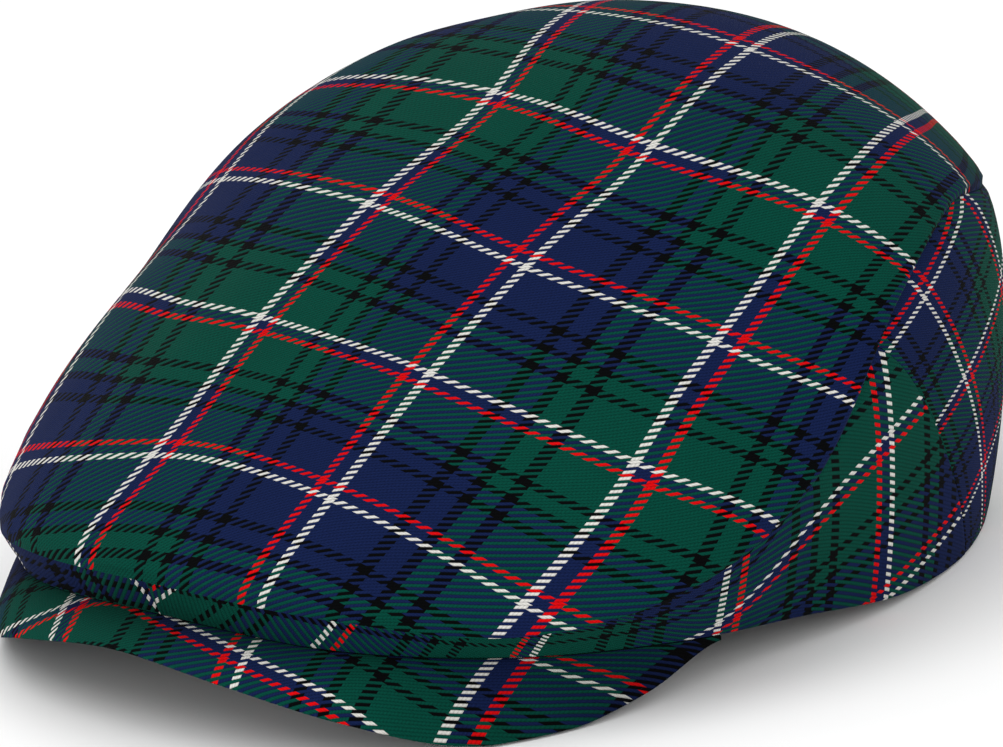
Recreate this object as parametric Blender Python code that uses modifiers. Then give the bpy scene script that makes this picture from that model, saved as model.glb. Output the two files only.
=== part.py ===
"""Tartan flat cap: a one-piece top over two side panels and a back panel, with a stiff arched peak.

Metres, +Z up. The front faces -Y and the mirror plane is X = 0. The cap stands on the table, Z = 0,
on the rim of its head opening and on the two drooping corners of its peak.
"""

import math

import bpy

# The top of the crown, measured at the seam round its edge
CROWN_WIDTH = 0.194
CROWN_LENGTH = 0.231
CROWN_FRONT = 0.1106  # from Y = 0, midway along the cap, to the seam at the front
DOME_HEIGHT = 0.0995  # table to the surface of the top at its middle
DOME_CENTRE = 0.0044  # Y of that middle
DOME_LEAN = 0.34  # slope of the middle, rising to the back
SEAM_HEIGHT = 0.076  # table to the seam where it is highest, behind the ears
EDGE_TUCK = 0.0024  # how far the top stands out past its seam
EDGE_DROP = 0.002  # height of the rounded edge over the seam

# The lower edge of the side and back panels, round the head opening
RIM_WIDTH = 0.181
RIM_LENGTH = 0.212
RIM_SET_BACK = 0.0035  # from the seam at the front to the rim at the front
RIM_RISE = 0.0224  # height of the rim over the peak, at the front
RIM_STAND = 0.003  # height of the upright hem at the rim
WALL_BULGE = 0.0055  # how far the back panel swells out past a straight wall
BULGE_POWER = 0.6  # under 1 gives the swell a round shoulder
BULGE_CLIMB = 1.35  # over 1 puts its widest part above half way
SEAM_STAND = 0.0015  # height of the upright edge under the seam
STAND_SHARE = 0.2  # most of the wall's height that either takes, where the wall is low over the peak

# The peak
PEAK_REACH = 0.0145  # past the rim at the front
PEAK_EDGE_HEIGHT = 0.0198  # table to the peak's edge at the front
PEAK_INSIDE = 0.012  # how far it runs in under the crown
PEAK_LIFT = 0.0004  # table to the outside of its lowest corners, whose inside comes lower
PEAK_END = 3.3  # rows of the rim table from the front to each end of the peak

# Cloth and clearances
CLOTH = 0.002
PEAK_THICKNESS = 0.003
GAP = 0.0003  # between pieces that lie one over another
PEAK_GAP = 0.0005  # between the peak and the rim over it
PANEL_GAP = 0.0006  # between panels side by side, whose cut edges close up a little on the inside

# A row every 20 degrees, from the front of the cap round to the back. The seam and the rim each have
# their distance across and along the cap, as shares of half their width and of their length, and their
# height, as a share of SEAM_HEIGHT or RIM_RISE. fullness is the exponent of the dome's profile, tuck a
# share of EDGE_TUCK, and bulge a share of WALL_BULGE.
SEAM_COLUMNS = ("across", "along", "height", "fullness", "tuck", "bulge")
SEAM_ROWS = (
    (0.000, 0.000, 0.400, 2.00, 0.0, 0.0),
    (0.412, 0.030, 0.365, 2.05, 0.0, 0.0),
    (0.735, 0.130, 0.290, 2.10, 0.0, 0.0),
    (0.940, 0.265, 0.340, 2.15, 0.2, 0.0),
    (1.000, 0.408, 0.510, 2.20, 0.5, 0.2),
    (0.957, 0.560, 0.865, 2.25, 0.6, 0.6),
    (0.850, 0.710, 1.000, 2.30, 0.3, 0.9),
    (0.685, 0.857, 0.915, 2.25, 0.1, 1.0),
    (0.395, 0.960, 0.870, 2.15, 0.1, 1.0),
    (0.000, 1.000, 0.850, 2.10, 0.1, 1.0),
)
RIM_COLUMNS = ("across", "along", "height")
RIM_ROWS = (
    (0.000, 0.000, 1.000),
    (0.444, 0.030, 0.900),
    (0.752, 0.140, 0.725),
    (0.922, 0.295, 0.520),
    (0.985, 0.450, 0.325),
    (1.000, 0.605, 0.080),
    (0.920, 0.765, 0.000),
    (0.728, 0.900, 0.000),
    (0.410, 0.978, 0.000),
    (0.000, 1.000, 0.000),
)
# From the middle of the peak to its end: shares of PEAK_REACH, PEAK_EDGE_HEIGHT and PEAK_INSIDE
PEAK_COLUMNS = ("reach", "height", "inside")
PEAK_ROWS = (
    (1.00, 1.00, 1.00),
    (0.93, 0.81, 0.98),
    (0.74, 0.46, 0.92),
    (0.45, 0.08, 0.80),
    (0.26, 0.00, 0.65),
    (0.10, 0.17, 0.45),
    (0.00, 0.46, 0.25),
)
LAST_ROW = len(SEAM_ROWS) - 1

# Where the seam between side and back panel runs, in rows from the front, at the rim and at the top
BACK_SEAM_LOW = 5.85
BACK_SEAM_HIGH = 4.75

DOME_EDGE_POWER = 0.8  # how the dome turns down to its edge
STEPS_PER_ROW = 4
DOME_RINGS = 12
WALL_STEPS = 6
WALL_LEVELS = WALL_STEPS + 3  # with the ends of the two upright hems
PEAK_STEPS = 18
APRON_STEPS = 5
TARTAN_COLOUR = (0.012, 0.045, 0.055, 1.0)
CLOTH_ROUGHNESS = 0.85


def smooth(rows, column, place, odd=False):
    """The column's value at a place between rows, on a Catmull-Rom curve that the mirror plane reflects."""
    last = len(rows) - 1
    sign = -1 if odd else 1

    def value(row):
        if row < 0:
            return sign * rows[-row][column]
        if row > last:
            return sign * rows[2 * last - row][column]
        return rows[row][column]

    start = min(int(math.floor(place)), last - 1)
    t = place - start
    before, here, after, beyond = (value(start + k) for k in (-1, 0, 1, 2))
    slope = (after - before) / 2
    next_slope = (beyond - here) / 2
    rise = after - here
    return here + t * (slope + t * (3 * rise - 2 * slope - next_slope + t * (slope + next_slope - 2 * rise)))


def seam_point(place):
    """A point of the seam under the edge of the top, on the wearer's left."""
    across = SEAM_COLUMNS.index("across")
    x = smooth(SEAM_ROWS, across, place, odd=True) * CROWN_WIDTH / 2
    y = -CROWN_FRONT + smooth(SEAM_ROWS, SEAM_COLUMNS.index("along"), place) * CROWN_LENGTH
    z = smooth(SEAM_ROWS, SEAM_COLUMNS.index("height"), place) * SEAM_HEIGHT
    return x, y, z


def rim_point(place):
    """A point of the lower edge of the side and back panels, on the wearer's left."""
    across = RIM_COLUMNS.index("across")
    x = smooth(RIM_ROWS, across, place, odd=True) * RIM_WIDTH / 2
    y = -CROWN_FRONT + RIM_SET_BACK + smooth(RIM_ROWS, RIM_COLUMNS.index("along"), place) * RIM_LENGTH
    z = max(0.0, smooth(RIM_ROWS, RIM_COLUMNS.index("height"), place)) * RIM_RISE
    return x, y, z


def outward(point, distance):
    """The point moved away from the dome's middle, in plan."""
    x, y, z = point
    away = math.hypot(x, y - DOME_CENTRE)
    share = 1 + distance / away
    return x * share, DOME_CENTRE + (y - DOME_CENTRE) * share, z


def edge_point(place):
    """The widest line of the top, over its seam."""
    x, y, z = seam_point(place)
    tuck = smooth(SEAM_ROWS, SEAM_COLUMNS.index("tuck"), place) * EDGE_TUCK
    return outward((x, y, z + EDGE_DROP), tuck)


def dome_point(place, share):
    """A point of the dome, from its middle at share 0 to its widest line at share 1."""
    x, y, z = edge_point(place)
    fullness = smooth(SEAM_ROWS, SEAM_COLUMNS.index("fullness"), place)
    height = z + (DOME_HEIGHT - z) * (1 - share**fullness) ** DOME_EDGE_POWER
    back = (y - DOME_CENTRE) * share
    return x * share, DOME_CENTRE + back, height + DOME_LEAN * back * (1 - share**2)


def wall_profile(place):
    """The outside of a side or back panel from the rim up to the seam, with an upright hem at each end."""
    low = rim_point(place)
    x, y, z = seam_point(place)
    top = (x, y, z - GAP)
    most = (top[2] - low[2]) * STAND_SHARE
    hem = (low[0], low[1], low[2] + min(RIM_STAND, most))
    collar = (x, y, top[2] - min(SEAM_STAND, most))
    bulge = smooth(SEAM_ROWS, SEAM_COLUMNS.index("bulge"), place) * WALL_BULGE
    points = [low]
    for step in range(WALL_STEPS + 1):
        t = step / WALL_STEPS
        straight = tuple(a + (b - a) * t for a, b in zip(hem, collar))
        swell = math.sin(t**BULGE_CLIMB * math.pi) ** BULGE_POWER
        points.append(outward(straight, bulge * swell))
    points.append(top)
    return points


def half_gap(row):
    """Half of PANEL_GAP in rows of the tables, near a row."""
    return PANEL_GAP / 2 / math.dist(rim_point(row), rim_point(row + 1))


def leaning_wall(low_place, high_place):
    """A wall profile whose points lean from one place at its lower hem to another at its upper hem."""
    points = []
    for level in range(WALL_LEVELS):
        share = min(max(level - 1, 0), WALL_STEPS) / WALL_STEPS
        place = low_place + (high_place - low_place) * share
        points.append(wall_profile(place)[level])
    return points


def grid_faces(columns, rows, flip):
    """Quads over columns of points, each with the same number of rows."""
    faces = []
    for c in range(columns - 1):
        for r in range(rows - 1):
            corner = c * rows + r
            face = (corner, corner + rows, corner + rows + 1, corner + 1)
            faces.append(face[::-1] if flip else face)
    return faces


def tartan(name):
    """Each piece's own cloth, in the mean colour of its checks."""
    made = bpy.data.materials.new(name)
    made.use_nodes = True
    shader = made.node_tree.nodes["Principled BSDF"]
    shader.inputs["Base Color"].default_value = TARTAN_COLOUR
    shader.inputs["Roughness"].default_value = CLOTH_ROUGHNESS
    shader.inputs["Metallic"].default_value = 0.0
    return made


def sheet_object(name, points, faces, thickness, mirrored=False):
    """An open sheet of cloth, given its thickness on the inside by Solidify."""
    mesh = bpy.data.meshes.new(name)
    mesh.from_pydata(points, [], faces)
    mesh.shade_smooth()
    piece = bpy.data.objects.new(name, mesh)
    parts.objects.link(piece)
    piece.data.materials.append(tartan(name + "_tartan"))
    if mirrored:
        mirror = piece.modifiers.new("Mirror", "MIRROR")
        mirror.merge_threshold = 0.00005
    solid = piece.modifiers.new("Cloth", "SOLIDIFY")
    solid.thickness = thickness
    solid.offset = -1
    solid.use_even_offset = True
    return piece


def top_panel():
    columns = LAST_ROW * STEPS_PER_ROW + 1
    rows = DOME_RINGS + 1
    middle = dome_point(0, 0)
    points = []
    for c in range(columns):
        place = c / STEPS_PER_ROW
        for ring in range(1, DOME_RINGS + 1):
            points.append(dome_point(place, math.sin(ring / DOME_RINGS * math.pi / 2)))
        points.append(seam_point(place))
    faces = grid_faces(columns, rows, flip=True)
    centre = len(points)
    points.append(middle)
    for c in range(columns - 1):
        faces.append((centre, c * rows, (c + 1) * rows))
    return sheet_object("top_panel", points, faces, CLOTH, mirrored=True)


def side_panel(name, side):
    """One side of the crown, from the seam at the middle of the front to the seam at the back panel."""
    back_gap = half_gap(int(BACK_SEAM_LOW))
    count = round(BACK_SEAM_HIGH * STEPS_PER_ROW)
    points = []
    for step in range(count + 1):
        t = step / count
        low = half_gap(0) * (1 - t) + (BACK_SEAM_LOW - back_gap) * t
        high = half_gap(0) * (1 - t) + (BACK_SEAM_HIGH - back_gap) * t
        points.extend((side * x, y, z) for x, y, z in leaning_wall(low, high))
    faces = grid_faces(count + 1, WALL_LEVELS, flip=side < 0)
    return sheet_object(name, points, faces, CLOTH)


def back_panel():
    back_gap = half_gap(int(BACK_SEAM_LOW))
    count = round((LAST_ROW - BACK_SEAM_HIGH) * STEPS_PER_ROW)
    points = []
    for step in range(count + 1):
        t = step / count
        low = (BACK_SEAM_LOW + back_gap) * (1 - t) + LAST_ROW * t
        high = (BACK_SEAM_HIGH + back_gap) * (1 - t) + LAST_ROW * t
        points.extend(leaning_wall(low, high))
    faces = grid_faces(count + 1, WALL_LEVELS, flip=False)
    return sheet_object("back_panel", points, faces, CLOTH, mirrored=True)


def peak():
    """The peak's upper face, from its edge inside the crown, past the rim, down to its outer edge."""
    last = len(PEAK_ROWS) - 1
    points = []
    for step in range(PEAK_STEPS + 1):
        share = step / PEAK_STEPS
        reach = max(0.0, smooth(PEAK_ROWS, PEAK_COLUMNS.index("reach"), share * last)) * PEAK_REACH
        height = smooth(PEAK_ROWS, PEAK_COLUMNS.index("height"), share * last) * PEAK_EDGE_HEIGHT
        height = max(PEAK_LIFT, height)
        inside = smooth(PEAK_ROWS, PEAK_COLUMNS.index("inside"), share * last) * PEAK_INSIDE
        x, y, z = rim_point(share * PEAK_END)
        root = (x, y, z - PEAK_GAP)
        points.append(outward(root, -inside))
        points.append(outward(root, -inside / 2))
        points.append(root)
        for rung in range(1, APRON_STEPS + 1):
            t = rung / APRON_STEPS
            out = outward(root, reach * (1 - (1 - t) ** 1.5))
            points.append((out[0], out[1], root[2] - (root[2] - height) * t**1.3))
    faces = grid_faces(PEAK_STEPS + 1, APRON_STEPS + 3, flip=True)
    return sheet_object("peak", points, faces, PEAK_THICKNESS, mirrored=True)


for old in list(bpy.data.objects):
    bpy.data.objects.remove(old)
parts = bpy.data.collections.new("tartan_flat_cap")
bpy.context.scene.collection.children.link(parts)
top_panel()
side_panel("side_panel_left", 1)
side_panel("side_panel_right", -1)
back_panel()
peak()
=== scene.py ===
# %% [markdown]
# # A tartan flat cap
# The cap is sewn from one domed top, two side panels, a back panel and a stiff peak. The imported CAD
# model gives its size and place. Here each plain solid is dressed: a finer panel of cloth takes its
# place, with rounded hems, seams that tuck in and pucker a little, and a tartan that is woven thread
# by thread in the shader. Everything is in metres, with the front of the cap towards -Y and the table
# at Z = 0.

import math

import bpy
from mathutils import Matrix, Vector, noise


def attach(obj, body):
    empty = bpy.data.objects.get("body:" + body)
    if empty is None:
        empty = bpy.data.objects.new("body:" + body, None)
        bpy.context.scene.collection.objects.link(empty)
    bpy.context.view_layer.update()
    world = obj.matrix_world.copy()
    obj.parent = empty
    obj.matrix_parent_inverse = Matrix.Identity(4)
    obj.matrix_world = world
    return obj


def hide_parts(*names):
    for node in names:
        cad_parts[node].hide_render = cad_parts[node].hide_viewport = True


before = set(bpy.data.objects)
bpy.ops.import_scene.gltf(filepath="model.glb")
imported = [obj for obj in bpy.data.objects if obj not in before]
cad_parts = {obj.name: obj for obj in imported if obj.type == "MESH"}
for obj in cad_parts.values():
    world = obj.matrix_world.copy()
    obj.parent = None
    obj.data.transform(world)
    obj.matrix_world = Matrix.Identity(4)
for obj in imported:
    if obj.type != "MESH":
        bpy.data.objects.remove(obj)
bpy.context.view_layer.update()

# %% [markdown]
# ## The camera
# A long lens about 1.3 m away looks down on the wearer's left front, turned a little about its own
# axis. A camera can be placed by hand until the view looks right. Here it is built from the angles
# that were fitted to the cap's outline, so each of them can be read and changed by itself. The focal
# length is worked out from how many pixels one metre covers at the cap, because a camera's width in
# millimetres over its lens is the same ratio as the view's width over its distance.

# %% The camera
IMAGE_WIDTH = 1003
SENSOR_WIDTH = 36.0
AZIMUTH = math.radians(41.1)
ELEVATION = math.radians(18.05)
ROLL = math.radians(4.05)
DISTANCE = 1.288
PIXELS_PER_METRE = 4673
LOOK_AT = Vector((-0.0018, 0.0044, 0.0404))
VIEW_ENDS = 50

backward = Vector(
    (
        math.sin(AZIMUTH) * math.cos(ELEVATION),
        -math.cos(AZIMUTH) * math.cos(ELEVATION),
        math.sin(ELEVATION),
    )
)
level_right = Vector((math.cos(AZIMUTH), math.sin(AZIMUTH), 0))
level_up = backward.cross(level_right)
right = math.cos(ROLL) * level_right - math.sin(ROLL) * level_up
up = math.sin(ROLL) * level_right + math.cos(ROLL) * level_up
turn = Matrix((right, up, backward)).transposed().to_euler()
bpy.ops.object.camera_add(location=LOOK_AT + DISTANCE * backward, rotation=turn)
camera = bpy.context.object
camera.name = "camera"
camera.data.sensor_width = SENSOR_WIDTH
camera.data.lens = PIXELS_PER_METRE * DISTANCE / IMAGE_WIDTH * SENSOR_WIDTH
camera.data.clip_end = VIEW_ENDS
bpy.context.scene.camera = camera
bpy.context.scene.view_settings.view_transform = "Standard"
print("lens", round(camera.data.lens, 1), "mm, camera at", [round(x, 3) for x in camera.location])

# %% [markdown]
# ## The table
# The cap lies on a plain white table that fills the view. One large plane is enough, a hair under the
# cap so that no two faces lie in one place.

# %% The table
FLOOR_SIZE = 60
FLOOR_DROP = 0.0002
FLOOR_COLOUR = (0.9, 0.9, 0.9, 1)
FLOOR_ROUGHNESS = 0.9

bpy.ops.object.select_all(action="DESELECT")
bpy.ops.mesh.primitive_plane_add(size=FLOOR_SIZE, location=(0, 0, -FLOOR_DROP))
floor = bpy.context.object
floor.name = "floor"
floor_finish = bpy.data.materials.new("white_table")
floor_finish.use_nodes = True
floor_shader = floor_finish.node_tree.nodes["Principled BSDF"]
floor_shader.inputs["Base Color"].default_value = FLOOR_COLOUR
floor_shader.inputs["Roughness"].default_value = FLOOR_ROUGHNESS
floor.data.materials.append(floor_finish)
print("table", FLOOR_SIZE, "m wide")

# %% [markdown]
# ## The light
# The room is white. One broad lamp stands high in front, on the wearer's right. Two weak and low ones,
# at the wearer's left and in front, keep the shading soft. Fewer lamps would do for a plain cloth, but
# with these the weave can be read everywhere, and the peak still gets a little shade from the crown.

# %% The light
ROOM_LIGHT = 0.95
WHITE_LIGHT = (1, 1, 1, 1)
# Each lamp's name, place, width and power.
LAMPS = (
    ("key_lamp", (-0.5, -1.1, 1.7), 1.6, 14),
    ("fill_lamp", (1.8, -0.4, 0.9), 1.2, 5),
    ("front_lamp", (0.2, -1.8, 0.35), 1.4, 4),
)

world = bpy.data.worlds.new("white_room")
bpy.context.scene.world = world
world.use_nodes = True
room = world.node_tree.nodes["Background"]
room.inputs["Color"].default_value = WHITE_LIGHT
room.inputs["Strength"].default_value = ROOM_LIGHT
for name, place, size, power in LAMPS:
    aim = (LOOK_AT - Vector(place)).to_track_quat("-Z", "Y").to_euler()
    bpy.ops.object.light_add(type="AREA", location=place, rotation=aim)
    lamp = bpy.context.object
    lamp.name = name
    lamp.data.shape = "DISK"
    lamp.data.size = size
    lamp.data.energy = power
print("lamps", [row[0] for row in LAMPS])

# %% [markdown]
# ## The form of the cap
# The crown of a real cap is cut from a paper pattern. The pattern here is a table instead, because the
# CAD model is made from the same rows and the finer panels then fit it everywhere. The cap is
# symmetrical, so one half says it all. A place is counted in rows of 20 degrees, from 0 at the middle
# of the front to 9 at the middle of the back. The seam is the line where the top is sewn to the sides,
# and the rim is the lower edge of the sides.

# %% Named sizes
CROWN_WIDTH = 0.194
CROWN_LENGTH = 0.231
CROWN_FRONT = 0.1106  # from Y = 0 to the seam at the front
DOME_HEIGHT = 0.0995  # table to the middle of the top
DOME_CENTRE = 0.0044  # Y of that middle
DOME_LEAN = 0.34  # slope of the middle, rising to the back
DOME_EDGE_POWER = 0.8  # under 1 fills the dome out towards its edge
SEAM_HEIGHT = 0.076  # table to the seam where it is highest, behind the ears
EDGE_TUCK = 0.0024  # how far the top stands out past its seam
EDGE_DROP = 0.002  # height of the rounded edge over the seam
RIM_WIDTH = 0.181
RIM_LENGTH = 0.212
RIM_SET_BACK = 0.0035  # from the seam at the front to the rim at the front
RIM_RISE = 0.0224  # height of the rim over the peak, at the front
WALL_BULGE = 0.0055  # how far the back swells out past a straight wall
BULGE_POWER = 0.6  # under 1 gives the swell a round shoulder
BULGE_CLIMB = 1.35  # over 1 puts its widest part above half way
PEAK_REACH = 0.0145  # past the rim at the front
PEAK_EDGE_HEIGHT = 0.0198  # table to the peak's edge at the front
PEAK_INSIDE = 0.012  # how far it runs in under the crown
PEAK_LIFT = 0.0004  # table to its lowest corners
PEAK_GAP = 0.0003  # between the peak and the rim over it
PEAK_END = 3.3  # rows from the front to each end of the peak
PEAK_THICKNESS = 0.003
CLOTH = 0.0018
BACK_SEAM_LOW = 5.85  # the row where the seam between side and back leaves the rim
BACK_SEAM_HIGH = 4.75  # the row where it reaches the top
print("crown", CROWN_WIDTH, "by", CROWN_LENGTH, "m, cloth", CLOTH, "m thick")

# %% The rows of the seam
# across and along are shares of half the width and of the length, and height is a share of SEAM_HEIGHT.
# fullness is the exponent of the dome's profile, tuck a share of EDGE_TUCK and bulge of WALL_BULGE.
SEAM_COLUMNS = ("across", "along", "height", "fullness", "tuck", "bulge")
SEAM_ROWS = (
    (0.000, 0.000, 0.400, 2.00, 0.0, 0.0),
    (0.412, 0.030, 0.365, 2.05, 0.0, 0.0),
    (0.735, 0.130, 0.290, 2.10, 0.0, 0.0),
    (0.940, 0.265, 0.340, 2.15, 0.2, 0.0),
    (1.000, 0.408, 0.510, 2.20, 0.5, 0.2),
    (0.957, 0.560, 0.865, 2.25, 0.6, 0.6),
    (0.850, 0.710, 1.000, 2.30, 0.3, 0.9),
    (0.685, 0.857, 0.915, 2.25, 0.1, 1.0),
    (0.395, 0.960, 0.870, 2.15, 0.1, 1.0),
    (0.000, 1.000, 0.850, 2.10, 0.1, 1.0),
)
SEAM = dict(zip(SEAM_COLUMNS, zip(*SEAM_ROWS)))
BACK = len(SEAM_ROWS) - 1
print("rows round half the cap", len(SEAM_ROWS))

# %% The rows of the rim and the peak
# The same for the rim, with its height as a share of RIM_RISE.
RIM_COLUMNS = ("across", "along", "height")
RIM_ROWS = (
    (0.000, 0.000, 1.000),
    (0.444, 0.030, 0.900),
    (0.752, 0.140, 0.725),
    (0.922, 0.295, 0.520),
    (0.985, 0.450, 0.325),
    (1.000, 0.605, 0.080),
    (0.920, 0.765, 0.000),
    (0.728, 0.900, 0.000),
    (0.410, 0.978, 0.000),
    (0.000, 1.000, 0.000),
)
# From the middle of the peak to its end: shares of PEAK_REACH, PEAK_EDGE_HEIGHT and PEAK_INSIDE.
PEAK_COLUMNS = ("reach", "height", "inside")
PEAK_ROWS = (
    (1.00, 1.00, 1.00),
    (0.93, 0.81, 0.98),
    (0.74, 0.46, 0.92),
    (0.45, 0.08, 0.80),
    (0.26, 0.00, 0.65),
    (0.10, 0.17, 0.45),
    (0.00, 0.46, 0.25),
)
RIM = dict(zip(RIM_COLUMNS, zip(*RIM_ROWS)))
PEAK = dict(zip(PEAK_COLUMNS, zip(*PEAK_ROWS)))
print("rows along half the peak", len(PEAK_ROWS))

# %% [markdown]
# ## A smooth line through the rows
# Straight lines between the rows would leave a corner at each. `curve` bends through them instead: it
# passes through every given value, and its slope at each is that of the line between its neighbours.
# `smooth` reads a column of the tables with it. Past the middle of the front or the back it takes the
# mirrored rows, so the two halves of the cap meet without a crease.


# %% Read between the rows
def curve(before, here, after, beyond, t):
    """The value at share t of the way from here to after, on the curve through all four."""
    slope, next_slope = (after - before) / 2, (beyond - here) / 2
    rise = after - here
    bend = slope + next_slope - 2 * rise
    return here + t * (slope + t * (3 * rise - 2 * slope - next_slope + t * bend))


def smooth(values, place, odd=False):
    """The value at a place between those given; odd values change sign past the middle of the cap."""
    last = len(values) - 1
    sign = -1 if odd else 1
    start = min(max(int(math.floor(place)), 0), last - 1)
    near = []
    for k in range(start - 1, start + 3):
        if k < 0:
            near.append(sign * values[-k])
        elif k > last:
            near.append(sign * values[2 * last - k])
        else:
            near.append(values[k])
    return curve(*near, place - start)


print("seam height at the temple", round(smooth(SEAM["height"], 3.5) * SEAM_HEIGHT * 1000, 1), "mm")

# %% [markdown]
# ## Lines on the cap
# Five helpers turn the rows into points. `outward` moves a point away from the dome's middle, in plan.
# The others are the seam, the rim, the widest line of the top over its seam, and any point of the dome.
# All of them are on the wearer's left, and `on_side` mirrors a point to the right.

# %% Points of the form
LEFT, RIGHT = 1, -1


def on_side(point, side):
    """The point itself, or its mirror image on the wearer's right."""
    return Vector((point[0] * side, point[1], point[2]))


def outward(point, distance):
    """The point moved away from the dome's middle, in plan."""
    x, y, z = point
    away = math.hypot(x, y - DOME_CENTRE)
    share = 1 + distance / away
    return Vector((x * share, DOME_CENTRE + (y - DOME_CENTRE) * share, z))


def seam_point(place):
    """A point of the seam under the edge of the top."""
    x = smooth(SEAM["across"], place, odd=True) * CROWN_WIDTH / 2
    y = -CROWN_FRONT + smooth(SEAM["along"], place) * CROWN_LENGTH
    return Vector((x, y, smooth(SEAM["height"], place) * SEAM_HEIGHT))


def rim_point(place):
    """A point of the lower edge of the sides."""
    x = smooth(RIM["across"], place, odd=True) * RIM_WIDTH / 2
    y = -CROWN_FRONT + RIM_SET_BACK + smooth(RIM["along"], place) * RIM_LENGTH
    return Vector((x, y, max(0.0, smooth(RIM["height"], place)) * RIM_RISE))


def edge_point(place):
    """The widest line of the top, over its seam."""
    x, y, z = seam_point(place)
    return outward((x, y, z + EDGE_DROP), smooth(SEAM["tuck"], place) * EDGE_TUCK)


def dome_point(place, share):
    """A point of the dome, from its middle at share 0 to its widest line at share 1."""
    x, y, z = edge_point(place)
    fullness = smooth(SEAM["fullness"], place)
    height = z + (DOME_HEIGHT - z) * (1 - share**fullness) ** DOME_EDGE_POWER
    behind = (y - DOME_CENTRE) * share
    return Vector((x * share, DOME_CENTRE + behind, height + DOME_LEAN * behind * (1 - share**2)))


print("front seam", [round(x * 1000, 1) for x in seam_point(0)], "mm")
print("top of the dome", round(max(dome_point(BACK, k / 20)[2] for k in range(21)) * 1000, 1), "mm")

# %% [markdown]
# ## Cutting and laying a panel
# A panel starts as the tailor's does, as a flat piece: a grid primitive. It is then laid over the form,
# column by column, so that each column of the grid follows one profile of the cap. Bending a plane by
# modifiers would be quicker, but its seams wouldn't meet. `thread_of` gives the warp and weft count at
# every point, and they are stored as the UV map, in repeats of the tartan.

# %% Lay a panel
REPEAT = 160  # threads in one repeat of the tartan
MERGED_WITHIN = 0.00001


def select_only(piece):
    """Makes the piece the one that operators act on."""
    bpy.ops.object.select_all(action="DESELECT")
    piece.select_set(True)
    bpy.context.view_layer.objects.active = piece


def lay_panel(name, profiles, thread_of, closed=False):
    """A grid laid on the profiles, a list of points for each column, with its thread counts as UVs."""
    columns = len(profiles) - 1
    rows = len(profiles[0]) - 1
    bpy.ops.object.select_all(action="DESELECT")
    bpy.ops.mesh.primitive_grid_add(x_subdivisions=columns, y_subdivisions=rows, size=1)
    panel = bpy.context.object
    panel.name = name
    mesh = panel.data
    counts = []
    for vertex in mesh.vertices:
        column = round((vertex.co.x + 0.5) * columns)
        row = round((vertex.co.y + 0.5) * rows)
        vertex.co = profiles[column][row]
        counts.append(thread_of(column, row))
    threads = mesh.uv_layers[0]
    threads.name = "threads"
    for loop in mesh.loops:
        u, v = counts[loop.vertex_index]
        threads.uv[loop.index].vector = (u / REPEAT, v / REPEAT)
    if closed:
        select_only(panel)
        bpy.ops.object.mode_set(mode="EDIT")
        bpy.ops.mesh.select_all(action="SELECT")
        bpy.ops.mesh.remove_doubles(threshold=MERGED_WITHIN)
        bpy.ops.object.mode_set(mode="OBJECT")
    return panel


print("repeat of the tartan", REPEAT, "threads")

# %% [markdown]
# ## Give the cloth its body
# Solidify gives the sheet its thickness on the inside, and a Bevel rounds the cut edges into hems.
# Both are applied, so the finished piece is plain mesh. The cloth is soft, so its normals are smooth.

# %% Thicken and hem
HEM_ANGLE = math.radians(50)  # a sharper fold than this is a cut edge
CLOTH_HEM = 0.0004
HEM_SEGMENTS = 3


def finish_cloth(panel, thickness=CLOTH, hem=CLOTH_HEM, segments=HEM_SEGMENTS):
    """Applies a wall's thickness and rounds its cut edges. Returns the area of the cloth before that."""
    area = sum(face.area for face in panel.data.polygons)
    select_only(panel)
    wall = panel.modifiers.new("wall", "SOLIDIFY")
    wall.thickness = thickness
    wall.offset = -1
    wall.use_even_offset = True
    wall.thickness_clamp = 1
    bpy.ops.object.modifier_apply(modifier=wall.name)
    edge = panel.modifiers.new("hem", "BEVEL")
    edge.width = hem
    edge.segments = segments
    edge.limit_method = "ANGLE"
    edge.angle_limit = HEM_ANGLE
    bpy.ops.object.modifier_apply(modifier=edge.name)
    bpy.ops.object.shade_smooth()
    print(panel.name, len(panel.data.polygons), "faces", [round(x, 4) for x in panel.dimensions])
    return area


print("hems", CLOTH_HEM * 1000, "mm, rounded in", HEM_SEGMENTS, "steps")

# %% [markdown]
# ## Soft cloth
# Wool that is sewn and pressed is still never quite even. `ripple` is the slow unevenness of the cloth,
# and `pucker` the short waves that a line of stitches draws into it. Both could be painted on as bump,
# but then the outline and the seams would stay ruler straight, so the points themselves are moved. The
# noise is the same at every run.

# %% Ripples and puckers
RIPPLE_DEPTH = 0.0005
RIPPLES_PER_METRE = 28
PUCKER_DEPTH = 0.0004
PUCKERS_PER_METRE = 150
PUCKER_REACH = 0.012


def ripple(point):
    """How far the cloth lies out of its form."""
    return RIPPLE_DEPTH * noise.noise(Vector(point) * RIPPLES_PER_METRE)


def pucker(point, from_seam):
    """How far a seam draws the cloth in or out, dying away with the distance from it."""
    near = max(0.0, 1 - from_seam / PUCKER_REACH)
    return PUCKER_DEPTH * near * noise.noise(Vector(point) * PUCKERS_PER_METRE)


print("puckers up to", PUCKER_DEPTH * 1000, "mm, within", PUCKER_REACH * 1000, "mm of a seam")

# %% [markdown]
# ## The top
# The top is one piece of cloth. Each profile of it starts in the seam, where the cloth is tucked in,
# comes out and round its rolled edge, and runs up over the dome to the middle. The grid's last row
# meets in one point there, and its first and last columns meet at the middle of the front. A cloth
# simulation could drape it, but the pressed crown hangs in no folds, and its edge has to meet the wall.

# %% Profiles of the top
TOP_COLUMNS = 360
DOME_RINGS = 60
TUCK_DEPTH = 0.003
ROLL_STEPS = 5
FIRST_DOME_ROW = 2 + ROLL_STEPS
EDGE_CALM = 6  # a high exponent keeps the ripples of the dome full until close to its edge


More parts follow.
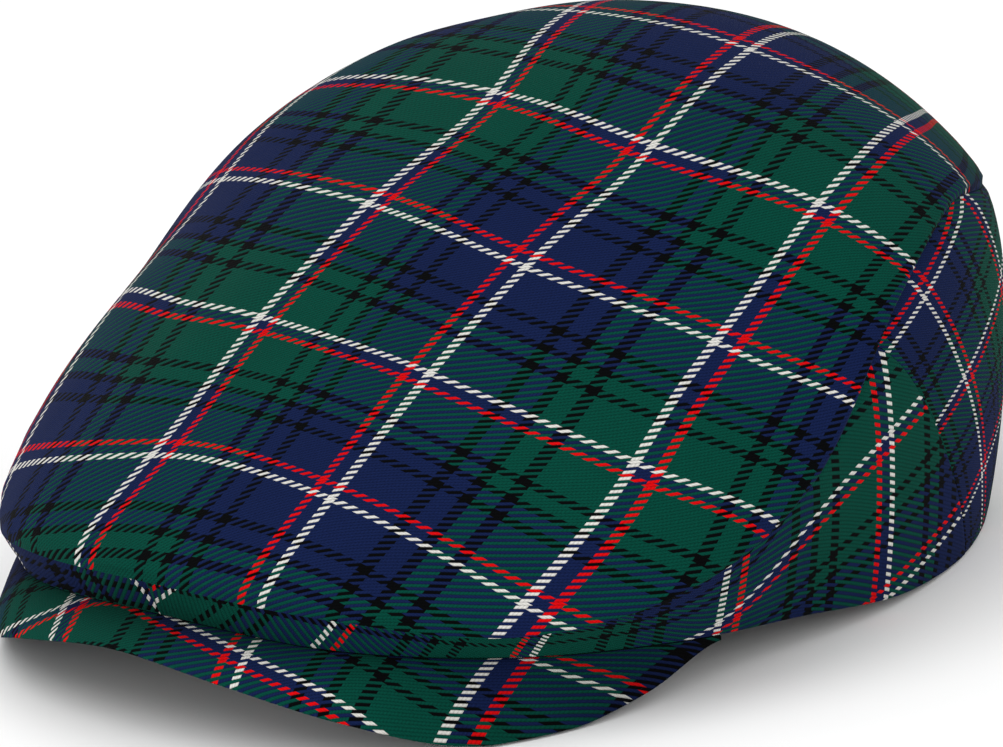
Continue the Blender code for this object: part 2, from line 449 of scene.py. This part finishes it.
def half_place(column, columns):
    """The place on the wearer's left, or the mirrored one on the right, and the side."""
    place = column / columns * 2 * BACK
    return (place, LEFT) if place <= BACK else (2 * BACK - place, RIGHT)


def top_profile(place, side):
    """From the tucked edge, round the roll of the edge, up to the middle of the dome."""
    seam = seam_point(place)
    edge = edge_point(place)
    points = [outward(seam, -TUCK_DEPTH), outward(seam, -TUCK_DEPTH / 2)]
    for step in range(ROLL_STEPS):
        t = step / ROLL_STEPS
        lift = 1 - math.cos(t * math.pi / 2)
        reach = math.sin(t * math.pi / 2)
        x = seam.x + (edge.x - seam.x) * reach
        y = seam.y + (edge.y - seam.y) * reach
        points.append(Vector((x, y, seam.z + EDGE_DROP * lift)))
    for ring in range(DOME_RINGS, -1, -1):
        share = math.sin(ring / DOME_RINGS * math.pi / 2)
        point = dome_point(place, share)
        point.z += ripple(on_side(point, side)) * (1 - share**EDGE_CALM)
        if ring:
            point = outward(point, pucker(on_side(point, side), (point - edge).length))
        points.append(point)
    return [on_side(point, side) for point in points]


def lengths(points):
    """The distance along a line of points, at each of them."""
    run = [0.0]
    for a, b in zip(points, points[1:]):
        run.append(run[-1] + (b - a).length)
    return run


top_profiles = [top_profile(*half_place(c, TOP_COLUMNS)) for c in range(TOP_COLUMNS + 1)]
top_runs = [lengths(points) for points in top_profiles]
print("top columns", len(top_profiles), "of", len(top_profiles[0]), "points")

# %% [markdown]
# ## Where the checks lie on the top
# A tartan is charted by its white lines. On the top, four run front to back and six cross them, with a
# seventh just off the front edge. The chart gives each line's thread count and how far it lies from the
# middle, at stations along it, on the top laid out flat: its distance over the dome from the middle, in
# the direction it has in plan. The wearer's left is +, and so is the back. A square grid seen from above
# would stretch where the cloth turns down steeply. Here a thread keeps about its width, and the lines
# bow as they do on cloth drawn over a dome.

# %% Chart of the top
LINE_STATIONS = 0.035
FIRST_LINE_STATION = -0.14
LINES = (
    (-116, (-0.0845, -0.086, -0.0898, -0.0885, -0.073, -0.0605, -0.0595, -0.0605)),
    (-44, (-0.025, -0.017, -0.0155, -0.009, -0.0025, -0.012, -0.022, -0.024)),
    (44, (0.033, 0.036, 0.037, 0.039, 0.0415, 0.037, 0.029, 0.024)),
    (116, (0.079, 0.086, 0.089, 0.0845, 0.080, 0.074, 0.064, 0.050)),
)
BAND_STATIONS = 0.045
FIRST_BAND_STATION = -0.135
BANDS = (
    (-328, (0.115, 0.106, 0.094, 0.090, 0.093, 0.104, 0.116)),
    (-240, (0.080, 0.066, 0.052, 0.046, 0.050, 0.070, 0.094)),
    (-168, (0.050, 0.029, 0.0115, 0.0055, 0.004, 0.020, 0.046)),
    (-80, (0.020, -0.0015, -0.023, -0.035, -0.0355, -0.0215, 0.003)),
    (-8, (-0.010, -0.038, -0.061, -0.0695, -0.0687, -0.058, -0.034)),
    (80, (-0.075, -0.0935, -0.107, -0.106, -0.105, -0.099, -0.084)),
    (152, (-0.128, -0.139, -0.144, -0.143, -0.136, -0.1325, -0.125)),
)
print("charted on the top:", len(LINES), "lines along and", len(BANDS), "across")


# %% Count threads between the lines
def at_station(values, place, first, step):
    """The value of a charted line at a place along it, on a smooth curve through its stations."""
    last = len(values) - 1
    where = min(max((place - first) / step, 0), last)
    start = min(int(where), last - 1)
    before, beyond = values[max(start - 1, 0)], values[min(start + 2, last)]
    return curve(before, values[start], values[start + 1], beyond, where - start)


def count_at(marks, where):
    """The thread count at a place between marks, pairs of a place and a count in the order of places."""
    upper = 1
    while upper < len(marks) - 1 and marks[upper][0] < where:
        upper += 1
    (low, low_count), (high, high_count) = marks[upper - 1], marks[upper]
    return low_count + (where - low) / (high - low) * (high_count - low_count)


def count_between(lines, along, across, first, step):
    """The thread count at a point between charted lines: along them, and across them."""
    marks = sorted((at_station(values, along, first, step), count) for count, values in lines)
    return count_at(marks, across)


def top_threads(column, row):
    """The warp and weft count at a point of the top."""
    outermost = top_profiles[column][FIRST_DOME_ROW]
    direction = math.atan2(outermost.y - DOME_CENTRE, outermost.x)
    flat = top_runs[column][-1] - top_runs[column][row]
    across, along = flat * math.cos(direction), flat * math.sin(direction)
    u = count_between(LINES, along, across, FIRST_LINE_STATION, LINE_STATIONS)
    v = count_between(BANDS, across, along, FIRST_BAND_STATION, BAND_STATIONS)
    return u, v


top = lay_panel("top_cloth", top_profiles, top_threads, closed=True)
top_area = finish_cloth(top)

# %% [markdown]
# ## The walls
# The side and back panels stand between the rim and the seam. A profile of a wall rises from its hem,
# swells out at the back, and turns in under the roll of the top, where the two are sewn together. The
# seam between a side and the back leans, so a wall's columns lean with it. A wall could be extruded
# from the rim in one ring, but then the leaning seams and the three cuts of cloth would be lost.

# %% Profiles of a wall
WALL_ROWS = 28


def wall_profile(low_place, high_place, side):
    """From the hem up to the seam, and in under the top."""
    points = []
    for row in range(WALL_ROWS + 1):
        t = row / WALL_ROWS
        place = low_place + (high_place - low_place) * t
        low, high = rim_point(place), seam_point(place)
        bulge = smooth(SEAM["bulge"], place) * WALL_BULGE
        swell = math.sin(t**BULGE_CLIMB * math.pi) ** BULGE_POWER
        point = outward(low + (high - low) * t, bulge * swell)
        soft = ripple(on_side(point, side)) * math.sin(t * math.pi)
        soft += pucker(on_side(point, side), (high - low).length * (1 - t)) * math.sin(t * math.pi)
        points.append(outward(point, soft))
    seam = seam_point(high_place)
    points.append(outward(seam, -TUCK_DEPTH / 2))
    points.append(outward(seam, -TUCK_DEPTH))
    return [on_side(point, side) for point in points]


def height_on_wall(point, place):
    """How far a point of a wall is up from the rim under it, and the wall's whole height there."""
    low = rim_point(place)
    return (Vector((abs(point.x), point.y, point.z)) - low).length, (seam_point(place) - low).length


front_wall, back_wall = ((seam_point(place) - rim_point(place)).length for place in (0, BACK))
print("wall", round(front_wall * 1000), "mm high in front and", round(back_wall * 1000), "mm behind")

# %% Runs round the wall
LEVEL_STEPS = 12  # short straight steps to a row, along which a run is measured
RUNS_TO_A_ROW = 10


def wall_run(place):
    """Distance round the wall at half its height, from the middle of the front."""
    steps = max(2, int(place * LEVEL_STEPS))
    line = [(rim_point(place * k / steps) + seam_point(place * k / steps)) / 2 for k in range(steps + 1)]
    return lengths(line)[-1]


runs_round = [wall_run(k / RUNS_TO_A_ROW) for k in range(RUNS_TO_A_ROW * BACK + 1)]


def run_at(place):
    """The same distance at any place, between those measured."""
    step = min(int(place * RUNS_TO_A_ROW), RUNS_TO_A_ROW * BACK - 1)
    t = place * RUNS_TO_A_ROW - step
    return runs_round[step] + (runs_round[step + 1] - runs_round[step]) * t


print("round half the wall", round(runs_round[-1] * 1000), "mm")

# %% [markdown]
# The two sides are cut so that the upright white lines stand at the temple and lean at the front, and
# the cross lines climb from the peak towards the back. The two panels aren't cut from one place of the
# cloth, so each has its own upright lines. The chart gives the run round the wall of those, and at
# stations along the wall the height of one cross line and of a thread, which is less where the cloth
# narrows under the top. A flat projection from the side would be simpler, but it would smear the
# checks round the front.

# %% Chart of the sides
LEFT_LINES = ((116, 0.0015), (44, 0.041), (-44, 0.084), (-116, 0.125), (-204, 0.178), (-276, 0.220))
RIGHT_LINES = (
    (116, 0.0015), (75, 0.025), (44, 0.055), (-44, 0.098), (-116, 0.139), (-204, 0.190), (-276, 0.232),
)
LEANS_AT_FRONT = {LEFT: 1.5, RIGHT: 0.5}
LEAN_ENDS = 0.108
CLIMB_STATIONS = 0.03
CLIMB = (-0.002, -0.002, -0.002, -0.0025, 0.001, 0.0245, 0.0395, 0.050, 0.057)
CLIMB_COUNT = -8
SIDE_THREADS = (0.44, 0.42, 0.30, 0.30, 0.38, 0.44, 0.44, 0.44, 0.44)  # height of a thread, mm
RIGHT_SIDE_SHIFT = 28  # threads that the right panel's cross lines lie lower by
print("charted on the sides:", len(LEFT_LINES), "upright lines left and", len(RIGHT_LINES), "right")

# %% Side panels
SIDE_COLUMNS = 150


def side_panel(name, side):
    """A side panel from the middle of the front to its leaning back seam, and the area of its cloth."""
    shares = [column / SIDE_COLUMNS for column in range(SIDE_COLUMNS + 1)]
    if side == RIGHT:
        shares.reverse()
    places = [(BACK_SEAM_LOW * t, BACK_SEAM_HIGH * t) for t in shares]
    profiles = [wall_profile(low, high, side) for low, high in places]
    marks = [(run, count) for count, run in (LEFT_LINES if side == LEFT else RIGHT_LINES)]

    def side_threads(column, row):
        low, high = places[column]
        place = low + (high - low) * min(row / WALL_ROWS, 1)
        run = run_at(place)
        height, whole = height_on_wall(profiles[column][row], place)
        lean = LEANS_AT_FRONT[side] * max(0, 1 - run / LEAN_ENDS)
        u = count_at(marks, run - lean * (height - whole / 2))
        climb = at_station(CLIMB, run, 0, CLIMB_STATIONS)
        thread = at_station(SIDE_THREADS, run, 0, CLIMB_STATIONS) / 1000
        v = CLIMB_COUNT + (climb - height) / thread
        return u, v if side == LEFT else v - RIGHT_SIDE_SHIFT

    panel = lay_panel(name, profiles, side_threads)
    return panel, finish_cloth(panel)


side_left, side_area = side_panel("side_cloth_left", LEFT)
side_right, _ = side_panel("side_cloth_right", RIGHT)

# %% [markdown]
# ## The back panel
# The back is one piece that bends round the nape. Laid flat it is an arc, so its checks turn gradually
# against the rim, and meet the sides at a slant. The arc's radius sets that slant, which a chart of the
# lines would have to say line by line.

# %% Back panel
BACK_COLUMNS = 150
BACK_ARC = 0.27
BACK_WARP = 0.00035
BACK_WEFT = 0.00033
BACK_LINE = (44, -0.0985)
BACK_BAND = (-80, 0.0883)


def back_place(column):
    """Low and high place of a column of the back, counted from the wearer's left round to the right."""
    share = column / (BACK_COLUMNS // 2)
    side = LEFT if share <= 1 else RIGHT
    share = min(share, 2 - share)
    low = BACK_SEAM_LOW + (BACK - BACK_SEAM_LOW) * share
    high = BACK_SEAM_HIGH + (BACK - BACK_SEAM_HIGH) * share
    return low, high, side


def back_threads(column, row):
    """The warp and weft count at a point of the back, laid flat as an arc."""
    low, high, side = back_places[column]
    place = low + (high - low) * min(row / WALL_ROWS, 1)
    angle = (run_at(place) - runs_round[-1]) * side / BACK_ARC
    radius = BACK_ARC - height_on_wall(back_profiles[column][row], place)[0]
    u = BACK_LINE[0] - (radius * math.sin(angle) - BACK_LINE[1]) / BACK_WARP
    v = BACK_BAND[0] - (BACK_ARC - radius * math.cos(angle) - BACK_BAND[1]) / BACK_WEFT
    return u, v


back_places = [back_place(column) for column in range(BACK_COLUMNS + 1)]
back_profiles = [wall_profile(low, high, side) for low, high, side in back_places]
back = lay_panel("back_cloth", back_profiles, back_threads)
back_area = finish_cloth(back)

# %% [markdown]
# ## The peak
# The peak is a stiff board covered in the same cloth. It starts inside the crown, comes out under the
# rim, and curves down to its edge: nearly level in the middle, and drooping to the table at the temples.
# A bent plane could stand in for it, but its root has to follow the rim all the way, so it is laid on
# profiles too. Its white lines are charted like the top's, on its plan, opened out a little where it
# drops.

# %% Chart of the peak
PEAK_LINE_STATIONS = 0.02
FIRST_PEAK_LINE_STATION = -0.125
PEAK_LINES = (
    (-116, (-0.060, -0.067, -0.071, -0.072)),
    (-44, (-0.0187, -0.0267, -0.031, -0.031)),
    (44, (0.0303, 0.0247, 0.0205, 0.019)),
    (116, (0.066, 0.0663, 0.0656, 0.064)),
)
PEAK_BAND_STATIONS = 0.015
FIRST_PEAK_BAND_STATION = -0.09
PEAK_BANDS = (
    (-8, (-0.1175, -0.118, -0.1185, -0.118, -0.1143, -0.100,
          -0.106, -0.1095, -0.1115, -0.1112, -0.1095, -0.1045, -0.098)),
    (-80, (-0.078, -0.081, -0.083, -0.079, -0.072, -0.045,
           -0.070, -0.074, -0.0765, -0.0795, -0.080, -0.0722, -0.0585)),
)
OPENED_OUT = 0.6
print("charted on the peak:", len(PEAK_LINES), "lines along and", len(PEAK_BANDS), "across")

# %% The peak
HALF_PEAK_COLUMNS = 90
APRON_ROWS = 16
APRON_PLAN_POWER = 1.5
APRON_DROP_POWER = 1.3
PEAK_HEM = 0.0011
PEAK_HEM_SEGMENTS = 5


def peak_profile(place):
    """From the peak's edge up to the rim and in under the crown; place runs from -1 to 1 along it."""
    share, side = abs(place), RIGHT if place < 0 else LEFT
    where = share * (len(PEAK_ROWS) - 1)
    reach = max(0.0, smooth(PEAK["reach"], where)) * PEAK_REACH
    height = max(PEAK_LIFT, smooth(PEAK["height"], where) * PEAK_EDGE_HEIGHT)
    inside = smooth(PEAK["inside"], where) * PEAK_INSIDE
    root = rim_point(share * PEAK_END)
    root.z -= PEAK_GAP
    points = []
    for rung in range(APRON_ROWS, 0, -1):
        t = rung / APRON_ROWS
        out = outward(root, reach * (1 - (1 - t) ** APRON_PLAN_POWER))
        points.append(Vector((out.x, out.y, root.z - (root.z - height) * t**APRON_DROP_POWER)))
    points += [root, outward(root, -inside / 2), outward(root, -inside)]
    return [on_side(point, side) for point in points]


def peak_threads(column, row):
    """The warp and weft count at a point of the peak."""
    point = peak_profiles[column][row]
    root = peak_profiles[column][APRON_ROWS]
    away = Vector((root.x, root.y - DOME_CENTRE)).normalized()
    drop = OPENED_OUT * max(0, root.z - point.z)
    across, along = point.x + away.x * drop, point.y + away.y * drop
    u = count_between(PEAK_LINES, along, across, FIRST_PEAK_LINE_STATION, PEAK_LINE_STATIONS)
    v = count_between(PEAK_BANDS, across, along, FIRST_PEAK_BAND_STATION, PEAK_BAND_STATIONS)
    return u, v


peak_places = [k / HALF_PEAK_COLUMNS for k in range(-HALF_PEAK_COLUMNS, HALF_PEAK_COLUMNS + 1)]
peak_profiles = [peak_profile(place) for place in peak_places]
peak = lay_panel("peak_cloth", peak_profiles, peak_threads)
finish_cloth(peak, PEAK_THICKNESS, PEAK_HEM, PEAK_HEM_SEGMENTS)

# %% [markdown]
# ## Shader maths
# A material's nodes can be wired one by one, but a weave takes dozens of Math nodes, and as sums they
# can be read. `Wire` holds one socket of the material, and using it in a sum adds the Math node for it.
# Any other node comes from its `node` method.


# %% Wires
class Wire:
    """A value on its way through a material. A sum of wires and numbers adds its own Math nodes."""

    def __init__(self, tree, socket=None):
        self.tree = tree
        self.socket = socket

    def node(self, kind, settings, sockets, output=0):
        """Any node, from its type, its settings, the values or wires of its sockets, and its output."""
        made = self.tree.nodes.new(kind)
        for name, value in settings.items():
            if name == "stops":
                ramp = made.color_ramp
                ramp.interpolation = "CONSTANT"
                while len(ramp.elements) < len(value):
                    ramp.elements.new(1)
                for element, (position, colour) in zip(ramp.elements, value):
                    element.position = position
                    element.color = colour
            else:
                setattr(made, name, value)
        for name, value in sockets.items():
            if isinstance(value, Wire):
                self.tree.links.new(value.socket, made.inputs[name])
            else:
                made.inputs[name].default_value = value
        return Wire(self.tree, made.outputs[output])

    def maths(self, operation, *values):
        return self.node("ShaderNodeMath", {"operation": operation}, dict(enumerate(values)))

    def __add__(self, other):
        return self.maths("ADD", self, other)

    def __radd__(self, other):
        return self.maths("ADD", other, self)

    def __sub__(self, other):
        return self.maths("SUBTRACT", self, other)

    def __rsub__(self, other):
        return self.maths("SUBTRACT", other, self)

    def __mul__(self, other):
        return self.maths("MULTIPLY", self, other)

    def __rmul__(self, other):
        return self.maths("MULTIPLY", other, self)

    def __truediv__(self, other):
        return self.maths("DIVIDE", self, other)

    def fraction(self):
        return self.maths("FRACT", self)

    def between(self, low, high, start=0.0, end=1.0):
        """Rises smoothly from start to end as the wire goes from low to high."""
        sockets = {"Value": self, "From Min": low, "From Max": high, "To Min": start, "To Max": end}
        return self.node("ShaderNodeMapRange", {"interpolation_type": "SMOOTHSTEP"}, sockets)


def mix(mask, first, second, blend="MIX"):
    """Colour first where the mask is 0 and second where it is 1."""
    wire = next(x for x in (mask, first, second) if isinstance(x, Wire))
    settings = {"data_type": "RGBA", "blend_type": blend}
    return wire.node("ShaderNodeMix", settings, {0: mask, 6: first, 7: second}, 2)


# %% [markdown]
# ## The tartan
# A tartan is a list of coloured stripes, the same in warp and weft. It is threaded here from one white
# line to the next, the repeat being 160 threads. Printed cloth could be one picture, but this is woven,
# so the shader weaves it too, and it stays sharp from close by.

# %% The threading
WHITE = (0.62, 0.61, 0.57, 1)
NAVY = (0.0055, 0.0122, 0.056, 1)
RED = (0.60, 0.0025, 0.004, 1)
GREEN = (0.0008, 0.051, 0.034, 1)
BLACK = (0.0012, 0.0014, 0.0018, 1)
THREADING = (
    (WHITE, 3), (NAVY, 5), (RED, 3), (GREEN, 22), (BLACK, 4), (GREEN, 7), (BLACK, 4), (NAVY, 7),
    (BLACK, 4), (NAVY, 21), (RED, 3), (NAVY, 5), (WHITE, 3), (NAVY, 22), (BLACK, 4), (NAVY, 7),
    (BLACK, 4), (GREEN, 7), (BLACK, 4), (GREEN, 21),
)

stops = []
threaded = 0
for colour, threads in THREADING:
    stops.append((threaded / REPEAT, colour))
    threaded += threads
print("threads in a repeat", threaded)

# %% [markdown]
# ## The weave
# In a two and two twill each thread passes over two and under two, one step further at every row, so
# warp shows where the sum of the two counts falls in the first half of four. That alone gives the
# slanting hatch where two colours cross. The relief is the round back of each thread, and the slanting
# ribs that the twill makes of them. Besides the bump, it sets painted shade in the colour: darker in
# the hollows between threads and between the ribs.

# %% The weave
WARP_START = 45.5  # from a charted white line, at count -44, to the start of the threading
WEFT_START = 9.5
TWILL = 4
CROSSING = 0.06  # share of the four in which one colour gives way to the other
THREAD_RELIEF = 0.4
RIB_RELIEF = 0.6


def ridge(count):
    """How high the round back of a thread stands, from 0 between two threads to 1 along its middle."""
    across = count.fraction() * 2 - 1
    return 1 - across * across


def weave(start):
    """The colour and the relief of a two and two twill, from the thread counts in the UV map."""
    counts = start.node("ShaderNodeUVMap", {"uv_map": "threads"}, {})
    u = start.node("ShaderNodeSeparateXYZ", {}, {0: counts}, 0) * REPEAT + WARP_START
    v = start.node("ShaderNodeSeparateXYZ", {}, {0: counts}, 1) * REPEAT + WEFT_START
    warp = start.node("ShaderNodeValToRGB", {"stops": stops}, {0: (u / REPEAT).fraction()})
    weft = start.node("ShaderNodeValToRGB", {"stops": stops}, {0: (v / REPEAT).fraction()})
    step = ((u + v) / TWILL).fraction()
    warp_over = step.between(0.0, CROSSING) * step.between(0.5, 0.5 + CROSSING, 1.0, 0.0)
    weft_ridge = ridge(v)
    threads_high = weft_ridge + (ridge(u) - weft_ridge) * warp_over
    relief = THREAD_RELIEF * threads_high + RIB_RELIEF * ridge(step * 2)
    return mix(warp_over, weft, warp), relief


print("twill over", TWILL // 2, "and under", TWILL // 2)

# %% [markdown]
# ## The napped wool
# Wool cloth is brushed, so its fibres blur the weave. A fine noise on the colour, the roughness and the
# bump stands for them, and a slow one for handling. A hair system would be heavier and no nearer to the
# eye at this size. The peak also darkens towards the rim, where little light comes in under the edge
# of the crown. The lamps here are too soft to show that by themselves.

# %% The napped wool
FUZZ_SCALE, FUZZ_DETAIL = 2600.0, 2.0
HANDLING_SCALE, HANDLING_DETAIL = 45.0, 3.0
RIM_MIDDLE = -0.02  # the front of the rim is nearly a circle about this point of the Y axis
RIM_RADIUS = 0.088
RIM_SHADE = 0.66
RIM_SHADE_REACH = 0.012
# What the weave, the fuzz and the handling each do to the tone, from their lowest to their highest.
# The weave's range is painted shade, darkest in the hollows between threads and between the ribs.
WEAVE_PAINTED_SHADE = (0.40, 1.02)
FUZZ_TONES = (0.72, 1.28)
HANDLING_TONES = (0.90, 1.10)
ROUGHNESS = (0.78, 0.92)
WEAVE_BUMP, FUZZ_BUMP = 0.8, 0.5
BUMP_STRENGTH, BUMP_DISTANCE = 0.4, 0.00018
SHEEN, SHEEN_ROUGHNESS, GLOSS = 0.006, 0.5, 0.03
OBJECT_PLACE = 3  # the output of Texture Coordinate that gives places on the object


def crown_shade(place):
    """1 in the open, and less close to the rim, where hardly any light comes."""
    east = place.node("ShaderNodeSeparateXYZ", {}, {0: place}, 0)
    north = place.node("ShaderNodeSeparateXYZ", {}, {0: place}, 1) - RIM_MIDDLE
    away = place.maths("SQRT", east * east + north * north)
    return away.between(RIM_RADIUS, RIM_RADIUS + RIM_SHADE_REACH, RIM_SHADE, 1.0)


def cloudy(place, scale, detail):
    """A soft noise from 0 to 1 over the places on the object."""
    return place.node("ShaderNodeTexNoise", {}, {"Vector": place, "Scale": scale, "Detail": detail})


def ranged(wire, low, high):
    """A value from 0 to 1, brought to the range from low to high."""
    return low + (high - low) * wire


def tartan(name):
    """The wool of one kind of panel."""
    cloth = bpy.data.materials.new(name)
    cloth.use_nodes = True
    tree = cloth.node_tree
    shader = tree.nodes["Principled BSDF"]
    start = Wire(tree)
    woven, relief = weave(start)
    place = start.node("ShaderNodeTexCoord", {}, {}, OBJECT_PLACE)
    fuzz = cloudy(place, FUZZ_SCALE, FUZZ_DETAIL)
    slow = cloudy(place, HANDLING_SCALE, HANDLING_DETAIL)
    # Painted shade in the hollows of the weave, times the random tone of the fuzz.
    shade = ranged(relief, *WEAVE_PAINTED_SHADE) * ranged(fuzz, *FUZZ_TONES)
    shade = shade * ranged(slow, *HANDLING_TONES)
    if name == "peak_tartan":
        shade = shade * crown_shade(place)
    grey = start.node("ShaderNodeCombineColor", {}, {0: shade, 1: shade, 2: shade})
    finished = mix(1.0, woven, grey, "MULTIPLY")
    height = relief * WEAVE_BUMP + fuzz * FUZZ_BUMP
    sockets = {"Strength": BUMP_STRENGTH, "Distance": BUMP_DISTANCE, "Height": height}
    bump = start.node("ShaderNodeBump", {}, sockets)
    tree.links.new(finished.socket, shader.inputs["Base Color"])
    tree.links.new(ranged(fuzz, *ROUGHNESS).socket, shader.inputs["Roughness"])
    tree.links.new(bump.socket, shader.inputs["Normal"])
    shader.inputs["Sheen Weight"].default_value = SHEEN
    shader.inputs["Sheen Roughness"].default_value = SHEEN_ROUGHNESS
    shader.inputs["Specular IOR Level"].default_value = GLOSS
    return cloth


print("fuzz", FUZZ_SCALE, "and handling", HANDLING_SCALE, "to the metre")

# %% [markdown]
# ## Dress the frame
# Each panel gets its cloth, stands for its CAD solid, and rides on the one body of the cap. The two
# sides share one cloth, and the peak has its own, because only it lies in the shade of the crown.

# %% Dress the frame
DRESS = (
    (top, "top_panel", "top_tartan"),
    (side_left, "side_panel_left", "side_tartan"),
    (side_right, "side_panel_right", "side_tartan"),
    (back, "back_panel", "back_tartan"),
    (peak, "peak", "peak_tartan"),
)
cloths = {slot: tartan(slot) for slot in sorted({row[2] for row in DRESS})}
for piece, node, slot in DRESS:
    piece.data.materials.clear()
    piece.data.materials.append(cloths[slot])
    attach(piece, "root")
    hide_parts(node)
print("dressed", [row[0].name for row in DRESS])

# %% [markdown]
# ## The cut of the cloth
# The four sewn panels are sheets, held in shape by their seams. Each one's flat size is the size of the
# piece of cloth that it is cut from, measured on the cap: along its middle, and from edge to edge.

# %% The cut of the cloth
FRONT_COLUMN, SIDE_COLUMN, BACK_COLUMN = 0, TOP_COLUMNS // 4, TOP_COLUMNS // 2
top_cut = (2 * top_runs[SIDE_COLUMN][-1], top_runs[FRONT_COLUMN][-1] + top_runs[BACK_COLUMN][-1])
side_cut = (run_at((BACK_SEAM_LOW + BACK_SEAM_HIGH) / 2), seam_point(BACK_SEAM_HIGH).z)
back_height = max(lengths(line)[-1] for line in back_profiles)
back_cut = (2 * (runs_round[-1] - run_at(BACK_SEAM_HIGH)), back_height)
CUTS = (
    (top, top_cut, top_area, ["side_panel_left", "side_panel_right", "back_panel"]),
    (side_left, side_cut, side_area, []),
    (side_right, side_cut, side_area, []),
    (back, back_cut, back_area, []),
)
for piece, cut, area, under in CUTS:
    print(piece.name, [round(x, 3) for x in cut], "cut,", round(area, 4), "square metres")
    min(area, cut[0] * cut[1])
